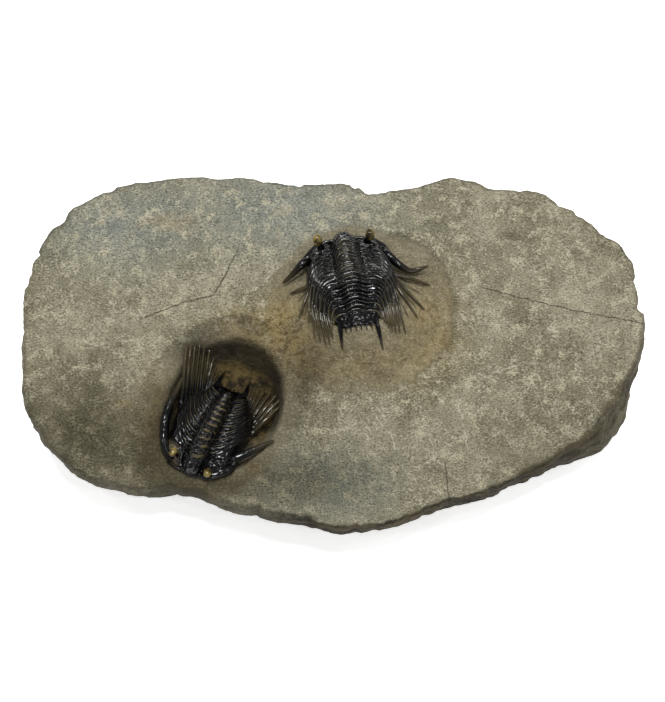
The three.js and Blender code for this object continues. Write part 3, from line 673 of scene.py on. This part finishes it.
def add_body(shell, back, cheek_fill):
    """The shell of the back, closed below by a skirt that ends just under the rock's surface."""
    s = np.linspace(0, BODY_LENGTH, LENGTH_STEPS)
    spread = np.linspace(-1, 1, WIDTH_STEPS)[None, :]
    top = back.surface(s[:, None], spread * back.edge(s)[:, None])
    depth = np.minimum(SKIRT_DEPTH, SKIRT_END_DEPTH + SKIRT_SLOPE * np.minimum(s, BODY_LENGTH - s))
    skirt = [back.surface(s, side * SKIRT_SHARE * back.edge(s), -depth)[:, None] for side in (1, -1)]
    rings = np.concatenate([top, *skirt], axis=1)
    rings[..., 2] = np.maximum(rings[..., 2], ground(rings[..., 0], rings[..., 1]) - SKIRT_SINK)
    around = rings.shape[1]
    front = LENGTH_STEPS * around
    rear, last = front + 1, front - around
    faces = ring_faces(LENGTH_STEPS, around)
    faces += [[front, (i + 1) % around, i] for i in range(around)]
    faces += [[rear, last + i, last + (i + 1) % around] for i in range(around)]
    unmarked = np.zeros((LENGTH_STEPS, len(skirt)))
    marks = {name: np.append(np.concatenate([values, unmarked], axis=1), (0, 0))
             for name, values in body_marks(back, s[:, None], spread, cheek_fill).items()}
    ends = [rings[0].mean(0), rings[-1].mean(0)]
    shell.add(np.vstack([rings.reshape(-1, 3), ends]), faces, **marks)


def on_ground(x, y, lift):
    return np.array([x, y, float(ground(x, y)) + lift])


def along_flank(back, fossil, s, side, lift):
    """Points across the axis where the ribs cross it, out over the flank and down to the shell's edge."""
    axis = float(back.axis(s))
    path = [back.surface(s, side * share * axis, lift) for share in fossil["ribs_from"]]
    sweep, power = fossil["rib_sweep"]
    for share in FLANK_SHARES:
        place = s + min(sweep, RIB_SWEEP_ROOM * (BODY_LENGTH - s)) * share ** power
        axis, edge = float(back.axis(place)), float(back.edge(place))
        path.append(back.surface(place, side * (axis + share * (edge - axis)), lift))
    return path


def add_rib_spines(shell, back, fossil, side):
    """Each ring's broad rear rib and thin front rib, which run on into a long and a fine spine."""
    tips = fossil["rib_tips"][side]
    for ring, (x, y) in enumerate(tips):
        s = HEAD_LENGTH + (ring + REAR_RIDGE) * RING_LENGTH - fossil["rib_shift"] * (1 - ring / RING_COUNT)
        path = along_flank(back, fossil, s, side, 0.0)
        tip = on_ground(x, y, 0.5)
        middle = path[-1] + 0.5 * (tip - path[-1]) + (0, 0, 0.4)
        extra = FRONT_RIB_EXTRA * max(0, 1 - ring / FRONT_RIBS)
        radii = [(share, radius * (1 + extra * (EXTRA_AT_ROOT + share))) for share, radius in RIB_SPINE]
        shell.spine([*path, middle, tip], radii, 36, RIB_TAN)
        next_x, next_y = tips[min(ring + 1, len(tips) - 1)]
        between = on_ground((x + next_x) / 2, (y + next_y) / 2, 0.4)
        path = along_flank(back, fossil, s + RIBLET_STEP * RING_LENGTH, side, RIBLET_LIFT)
        fine_tip = path[-1] + RIBLET_REACH * (between - path[-1])
        # The thin rib's pale tan line is partly a painted highlight
        shell.spine([*path, fine_tip], fossil["riblet"], 28, fossil["riblet_tan_and_highlight"])


def add_cheek_spine(shell, back, path, side):
    root = back.surface(1.2, side * 0.75 * float(back.edge(1.2)), -0.5)
    shoulder = back.surface(3.4, side * 0.98 * float(back.edge(3.4)), -0.4)
    shell.spine([root, shoulder, *path], CHEEK_SPINE, 34)


def add_tail_spine(shell, back, tip, side):
    s = BODY_LENGTH - 1.6
    root = back.surface(s, side * 0.72 * float(back.edge(s)), -0.1)
    end = on_ground(*tip, 0.4)
    shell.spine([root, root + 0.5 * (end - root) + (0, 0, 0.2), end], TAIL_SPINE)


def add_tail_teeth(shell, back):
    for share in TAIL_TEETH:
        w = share * float(back.edge(BODY_LENGTH))
        root = back.point(BODY_LENGTH - 0.8, w, -0.1)
        tip = back.point(BODY_LENGTH + 1.6, w * 1.15, -0.3)
        shell.spine([root, (root + tip) / 2, tip], TOOTH, 8)


def add_eye(shell, back, place, side, tone):
    ball = np.array(place, float)
    root = back.surface(3, side * 0.6 * float(back.edge(3)), -0.3)
    shell.spine([root, (root + ball) / 2, ball], EYE_STALK, 10)
    shell.ball(ball, EYE_BALL * back.width, EYE_STRETCH, back.forward + (0, 0, 0.5), tone)


def add_head_border(shell, back):
    """Rolled rim round the front of the head, with a fringe of short teeth."""
    places = [*HEAD_RIM, RIM_FRONT, *((s, -share) for s, share in reversed(HEAD_RIM))]
    path = np.array([back.surface(s, share * float(back.edge(max(s, 0))), -0.35) for s, share in places])
    shell.spine(path, HEAD_BORDER, 60)
    middle = back.surface(4, 0, -2)
    for place in curve_through(path, HEAD_TEETH + 2)[1:-1]:
        outward = place - middle
        outward /= np.linalg.norm(outward)
        tip = place + (HEAD_TOOTH_LENGTH * outward + (0, 0, -HEAD_TOOTH_DROP))
        shell.spine([place, place + HEAD_TOOTH_LENGTH / 2 * outward, tip], TOOTH, 6)


class Nodes:
    """Short way to write a material's nodes."""

    def __init__(self, name):
        self.material = bpy.data.materials.new(name)
        self.material.use_nodes = True
        self.tree = self.material.node_tree
        self.tree.nodes.clear()
        self.out = self.node("ShaderNodeOutputMaterial")
        self.shader = self.node("ShaderNodeBsdfPrincipled")
        self.link(self.shader.outputs[0], self.out.inputs["Surface"])

    def node(self, kind, **settings):
        made = self.tree.nodes.new(kind)
        for key, value in settings.items():
            setattr(made, key, value)
        return made

    def link(self, source, target):
        self.tree.links.new(source, target)

    def feed(self, socket, value):
        if hasattr(value, "is_output"):
            self.link(value, socket)
        else:
            socket.default_value = value

    def place(self):
        return self.node("ShaderNodeTexCoord").outputs["Object"]

    def stretched(self, scale):
        made = self.node("ShaderNodeMapping")
        self.link(self.place(), made.inputs["Vector"])
        made.inputs["Scale"].default_value = scale
        return made.outputs["Vector"]

    def noise(self, scale, detail=4.0, rough=0.6, vector=None):
        made = self.node("ShaderNodeTexNoise")
        self.link(vector or self.place(), made.inputs["Vector"])
        made.inputs["Scale"].default_value = scale
        made.inputs["Detail"].default_value = detail
        made.inputs["Roughness"].default_value = rough
        return made.outputs["Fac"]

    def cells(self, scale):
        made = self.node("ShaderNodeTexVoronoi")
        self.link(self.place(), made.inputs["Vector"])
        made.inputs["Scale"].default_value = scale
        return made.outputs["Distance"]

    def mark(self, name):
        return self.node("ShaderNodeAttribute", attribute_name=name).outputs["Fac"]

    def math(self, operation, a, b=0.0):
        made = self.node("ShaderNodeMath", operation=operation)
        self.feed(made.inputs[0], a)
        self.feed(made.inputs[1], b)
        return made.outputs[0]

    def times(self, a, b):
        return self.math("MULTIPLY", a, b)

    def ramp(self, value, low, high, start=0.0, end=1.0):
        made = self.node("ShaderNodeMapRange", interpolation_type="SMOOTHSTEP")
        self.feed(made.inputs["Value"], value)
        for key, setting in (("From Min", low), ("From Max", high), ("To Min", start), ("To Max", end)):
            made.inputs[key].default_value = setting
        return made.outputs["Result"]

    def mix(self, share, a, b, blend="MIX"):
        made = self.node("ShaderNodeMix", data_type="RGBA", blend_type=blend)
        self.feed(made.inputs["Factor"], share)
        for socket, value in ((made.inputs["A"], a), (made.inputs["B"], b)):
            self.feed(socket, (*value, 1.0) if isinstance(value, tuple) else value)
        return made.outputs["Result"]

    def darker(self, colour, tint):
        return self.mix(1.0, colour, tint, "MULTIPLY")

    def bump(self, height, distance, strength=1.0, under=None):
        made = self.node("ShaderNodeBump")
        made.inputs["Strength"].default_value = strength
        made.inputs["Distance"].default_value = distance
        self.feed(made.inputs["Height"], height)
        if under is not None:
            self.link(under, made.inputs["Normal"])
        return made.outputs["Normal"]


def rock_colour(n, blotch, cloud, raw):
    """The rock's greys, its bluish and ochre stains, the prepared ground and soft mottling."""
    colour = n.mix(n.ramp(n.noise(62, 5, 0.65), 0.35, 0.65), STONE["deep grey"], STONE["light grey"])
    colour = n.mix(n.times(n.mark("bluish"), n.ramp(blotch, 0.66, 0.44, 0.3, 1.0)), colour, STONE["bluish"])
    colour = n.mix(n.mark("prepared"), colour, STONE["prepared"])
    colour = n.mix(n.times(n.mark("ochre"), n.ramp(blotch, 0.3, 0.6, 0.5, 1.0)), colour, STONE["ochre"])
    colour = n.mix(n.ramp(blotch, 0.58, 0.38, 0.0, 0.9), colour, n.darker(colour, STONE["mottle"]))
    return n.mix(n.times(n.ramp(cloud, 0.52, 0.66), n.times(raw, 0.85)), colour, STONE["cloud"])


def speckled(n, colour, flecks, cloud, crumbly, raw):
    """Adds flecks on the raw rock, crumbs and veins on the prepared ground, and a dark grain on both."""
    pale = n.times(n.ramp(flecks, 0.5, 0.62), n.ramp(cloud, 0.38, 0.6, 0.3, 1.0))
    colour = n.mix(n.times(pale, n.times(raw, 0.85)), colour, STONE["pale fleck"])
    crumbs = n.times(n.ramp(flecks, 0.52, 0.64), n.times(n.mark("prepared"), 0.7))
    colour = n.mix(crumbs, colour, STONE["crumb"])
    colour = n.mix(n.times(n.mark("ochre"), n.ramp(crumbly, 0.5, 0.41, 0.0, 0.9)), colour, STONE["vein"])
    colour = n.mix(n.times(n.ramp(flecks, 0.46, 0.36), n.times(raw, 0.9)), colour, STONE["dark fleck"])
    return n.mix(n.ramp(n.noise(2900, 2, 0.7), 0.46, 0.34, 0.0, 0.5), colour, STONE["grain"])


def shaded(n, colour, blotch, cloud, flecks, layers):
    """Adds the dark broken faces (partly painted shade), the painted shade and dark stains on the ground, the
    hollow's dark wall (partly painted shade) and floor, and painted glints on the floor.
    """
    face = n.mix(n.ramp(layers, 0.4, 0.62), STONE["broken dark"], STONE["broken light"])
    colour = n.mix(n.times(n.mark("broken"), n.ramp(cloud, 0.3, 0.62, 1.0, 0.85)), colour, face)
    colour = n.mix(n.mark("shade"), colour, n.darker(colour, STONE["shade"]))
    # The hollow's dark wall: partly stain, partly painted shade
    colour = n.mix(n.times(n.mark("wall"), n.ramp(blotch, 0.3, 0.6, 0.97, 0.84)), colour, STONE["wall"])
    floor = n.mix(n.ramp(cloud, 0.38, 0.62), STONE["floor dark"], STONE["floor light"])
    colour = n.mix(n.times(n.mark("floor"), 0.9), colour, floor)
    # Painted glints: pale specks on the hollow's floor
    return n.mix(n.times(n.mark("floor"), n.ramp(flecks, 0.66, 0.72)), colour, STONE["glint"])


def on_line(n, name, scale, waver, core, reach, strength):
    """Strength on the thin wavering line whose distance the mark holds, 0 beyond its reach."""
    distance = n.math("ADD", n.mark(name), n.ramp(n.noise(scale, 3), 0.2, 0.8, -waver, waver))
    return n.ramp(n.math("ABSOLUTE", distance), core, reach, strength, 0.0)


def limestone():
    n = Nodes("limestone")
    blotch = n.noise(190, 5, 0.65)
    cloud = n.noise(330, 5, 0.7)
    crumbly = n.noise(620, 4, 0.7)
    flecks = n.noise(3000, 3, 0.75, n.stretched((0.65, 1.0, 1.0)))
    layers = n.noise(700, 3, 0.6, n.stretched((0.12, 0.12, 1.0)))
    raw = n.math("SUBTRACT", 1.0, n.times(n.mark("prepared"), 0.75))
    in_crack = on_line(n, "crack", 700, 0.25, 0.03, 0.15, 1.0)
    on_scratch = on_line(n, "scratch", 400, 0.5, 0.04, 0.24, 0.5)
    colour = rock_colour(n, blotch, cloud, raw)
    colour = speckled(n, colour, flecks, cloud, crumbly, raw)
    colour = shaded(n, colour, blotch, cloud, flecks, layers)
    colour = n.mix(n.times(in_crack, n.ramp(blotch, 0.35, 0.6, 0.35, 0.8)), colour, STONE["crack"])
    colour = n.mix(n.times(on_scratch, n.ramp(cloud, 0.36, 0.56)), colour, STONE["scratch"])
    n.feed(n.shader.inputs["Base Color"], colour)
    n.shader.inputs["Roughness"].default_value = 0.85
    n.shader.inputs["Specular IOR Level"].default_value = 0.12
    normal = n.bump(n.math("SUBTRACT", n.times(flecks, raw), n.times(in_crack, 1.2)), 0.0004, 0.9)
    normal = n.bump(blotch, 0.0012, 0.8, normal)
    normal = n.bump(n.times(layers, n.mark("broken")), 0.0008, 0.9, normal)
    normal = n.bump(n.times(crumbly, n.mark("prepared")), 0.0012, 0.8, normal)
    n.link(normal, n.shader.inputs["Normal"])
    return n.material


def shell_material():
    n = Nodes("shell")
    cloud = n.noise(260, 4)
    fine = n.noise(1500, 3)
    colour = n.mix(n.ramp(cloud, 0.35, 0.7), SHELL["black"], SHELL["grey black"])
    olive = n.mix(n.ramp(fine, 0.35, 0.65), SHELL["dark olive"], SHELL["light olive"])
    colour = n.mix(n.mark("olive"), colour, olive)
    # Crest tan: partly a painted highlight on the ring tops
    colour = n.mix(n.times(n.mark("crest"), n.ramp(n.noise(520, 3), 0.36, 0.52)), colour, SHELL["crest"])
    # Tan on the ribs, spine tips and one cheek; along the thin ribs it is partly painted highlight lines
    rib = n.times(n.mark("rib"), n.ramp(n.noise(500, 2), 0.3, 0.6, 0.35, 1.0))
    colour = n.mix(rib, colour, SHELL["rib"])
    colour = n.mix(n.ramp(n.mark("tip"), 0.55, 1.0, 0.0, 0.6), colour, SHELL["tip"])
    amber = n.mix(n.ramp(n.noise(700, 2), 0.38, 0.6), SHELL["dark amber"], SHELL["light amber"])
    colour = n.mix(n.mark("eye"), colour, amber)
    n.feed(n.shader.inputs["Base Color"], colour)
    n.feed(n.shader.inputs["Roughness"], n.ramp(fine, 0.3, 0.7, 0.12, 0.28))
    n.shader.inputs["Specular IOR Level"].default_value = 0.08
    n.shader.inputs["Coat IOR"].default_value = 1.36
    n.shader.inputs["Coat Weight"].default_value = 0.85
    n.shader.inputs["Coat Roughness"].default_value = 0.04
    normal = n.bump(n.ramp(n.cells(1300), 0.0, 0.45, 1.0, 0.0), 0.0001, 0.7)
    normal = n.bump(cloud, 0.00012, 0.5, normal)
    n.link(normal, n.shader.inputs["Normal"])
    return n.material


def floor_material():
    n = Nodes("white_floor")
    n.shader.inputs["Base Color"].default_value = (FLOOR_GREY, FLOOR_GREY, FLOOR_GREY, 1)
    n.shader.inputs["Emission Color"].default_value = (1, 1, 1, 1)
    n.shader.inputs["Emission Strength"].default_value = FLOOR_GLOW
    n.shader.inputs["Roughness"].default_value = FLOOR_ROUGHNESS
    return n.material


def build_floor():
    bpy.ops.mesh.primitive_plane_add(size=FLOOR_WIDTH, location=(0, 0, 0))
    floor = bpy.context.object
    floor.name = "floor"
    floor.data.materials.append(floor_material())


def soft_light(name, azimuth, elevation, spread, strength):
    """Even light from far away, soft by its spread; azimuth counts from the near side, anticlockwise."""
    a, e = math.radians(azimuth), math.radians(elevation)
    toward = Vector((math.sin(a) * math.cos(e), -math.cos(a) * math.cos(e), math.sin(e)))
    data = bpy.data.lights.new(name, "SUN")
    data.angle = math.radians(spread)
    data.energy = strength
    lamp = bpy.data.objects.new(name, data)
    lamp.location = toward
    lamp.rotation_euler = toward.to_track_quat("Z", "Y").to_euler()
    bpy.context.collection.objects.link(lamp)


def build_lights():
    for light in LIGHTS:
        soft_light(*light)
    for azimuth, elevation in GLINT_LIGHTS:
        soft_light("glint_light", azimuth, elevation, GLINT_SPREAD, GLINT_STRENGTH)
    world = bpy.data.worlds.new("studio")
    world.use_nodes = True
    background = world.node_tree.nodes["Background"]
    background.inputs["Color"].default_value = (1, 1, 1, 1)
    background.inputs["Strength"].default_value = WORLD_STRENGTH
    bpy.context.scene.world = world
    bpy.context.scene.view_settings.view_transform = "Standard"


def build_camera():
    tilt = math.radians(CAMERA_ELEVATION)
    back = Vector((0, -math.cos(tilt), math.sin(tilt)))
    target = (Vector(CAMERA_TARGET) - Vector((*SLAB_CENTRE, 0))) * MM
    data = bpy.data.cameras.new("camera")
    data.lens = LENS
    data.sensor_width = SENSOR
    data.shift_x, data.shift_y = CAMERA_SHIFT
    camera = bpy.data.objects.new("camera", data)
    camera.location = target + back * CAMERA_DISTANCE * MM
    camera.rotation_euler = Euler((math.pi / 2 - tilt, 0, 0))
    bpy.context.collection.objects.link(camera)
    bpy.context.scene.camera = camera


slab = build_slab(limestone())
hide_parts("limestone_slab")
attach(slab, "root")
shell_look = shell_material()
for fossil in (UPPER_FOSSIL, LOWER_FOSSIL):
    piece = build_fossil(fossil, shell_look)
    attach(piece, "root")
build_floor()
build_lights()
build_camera()
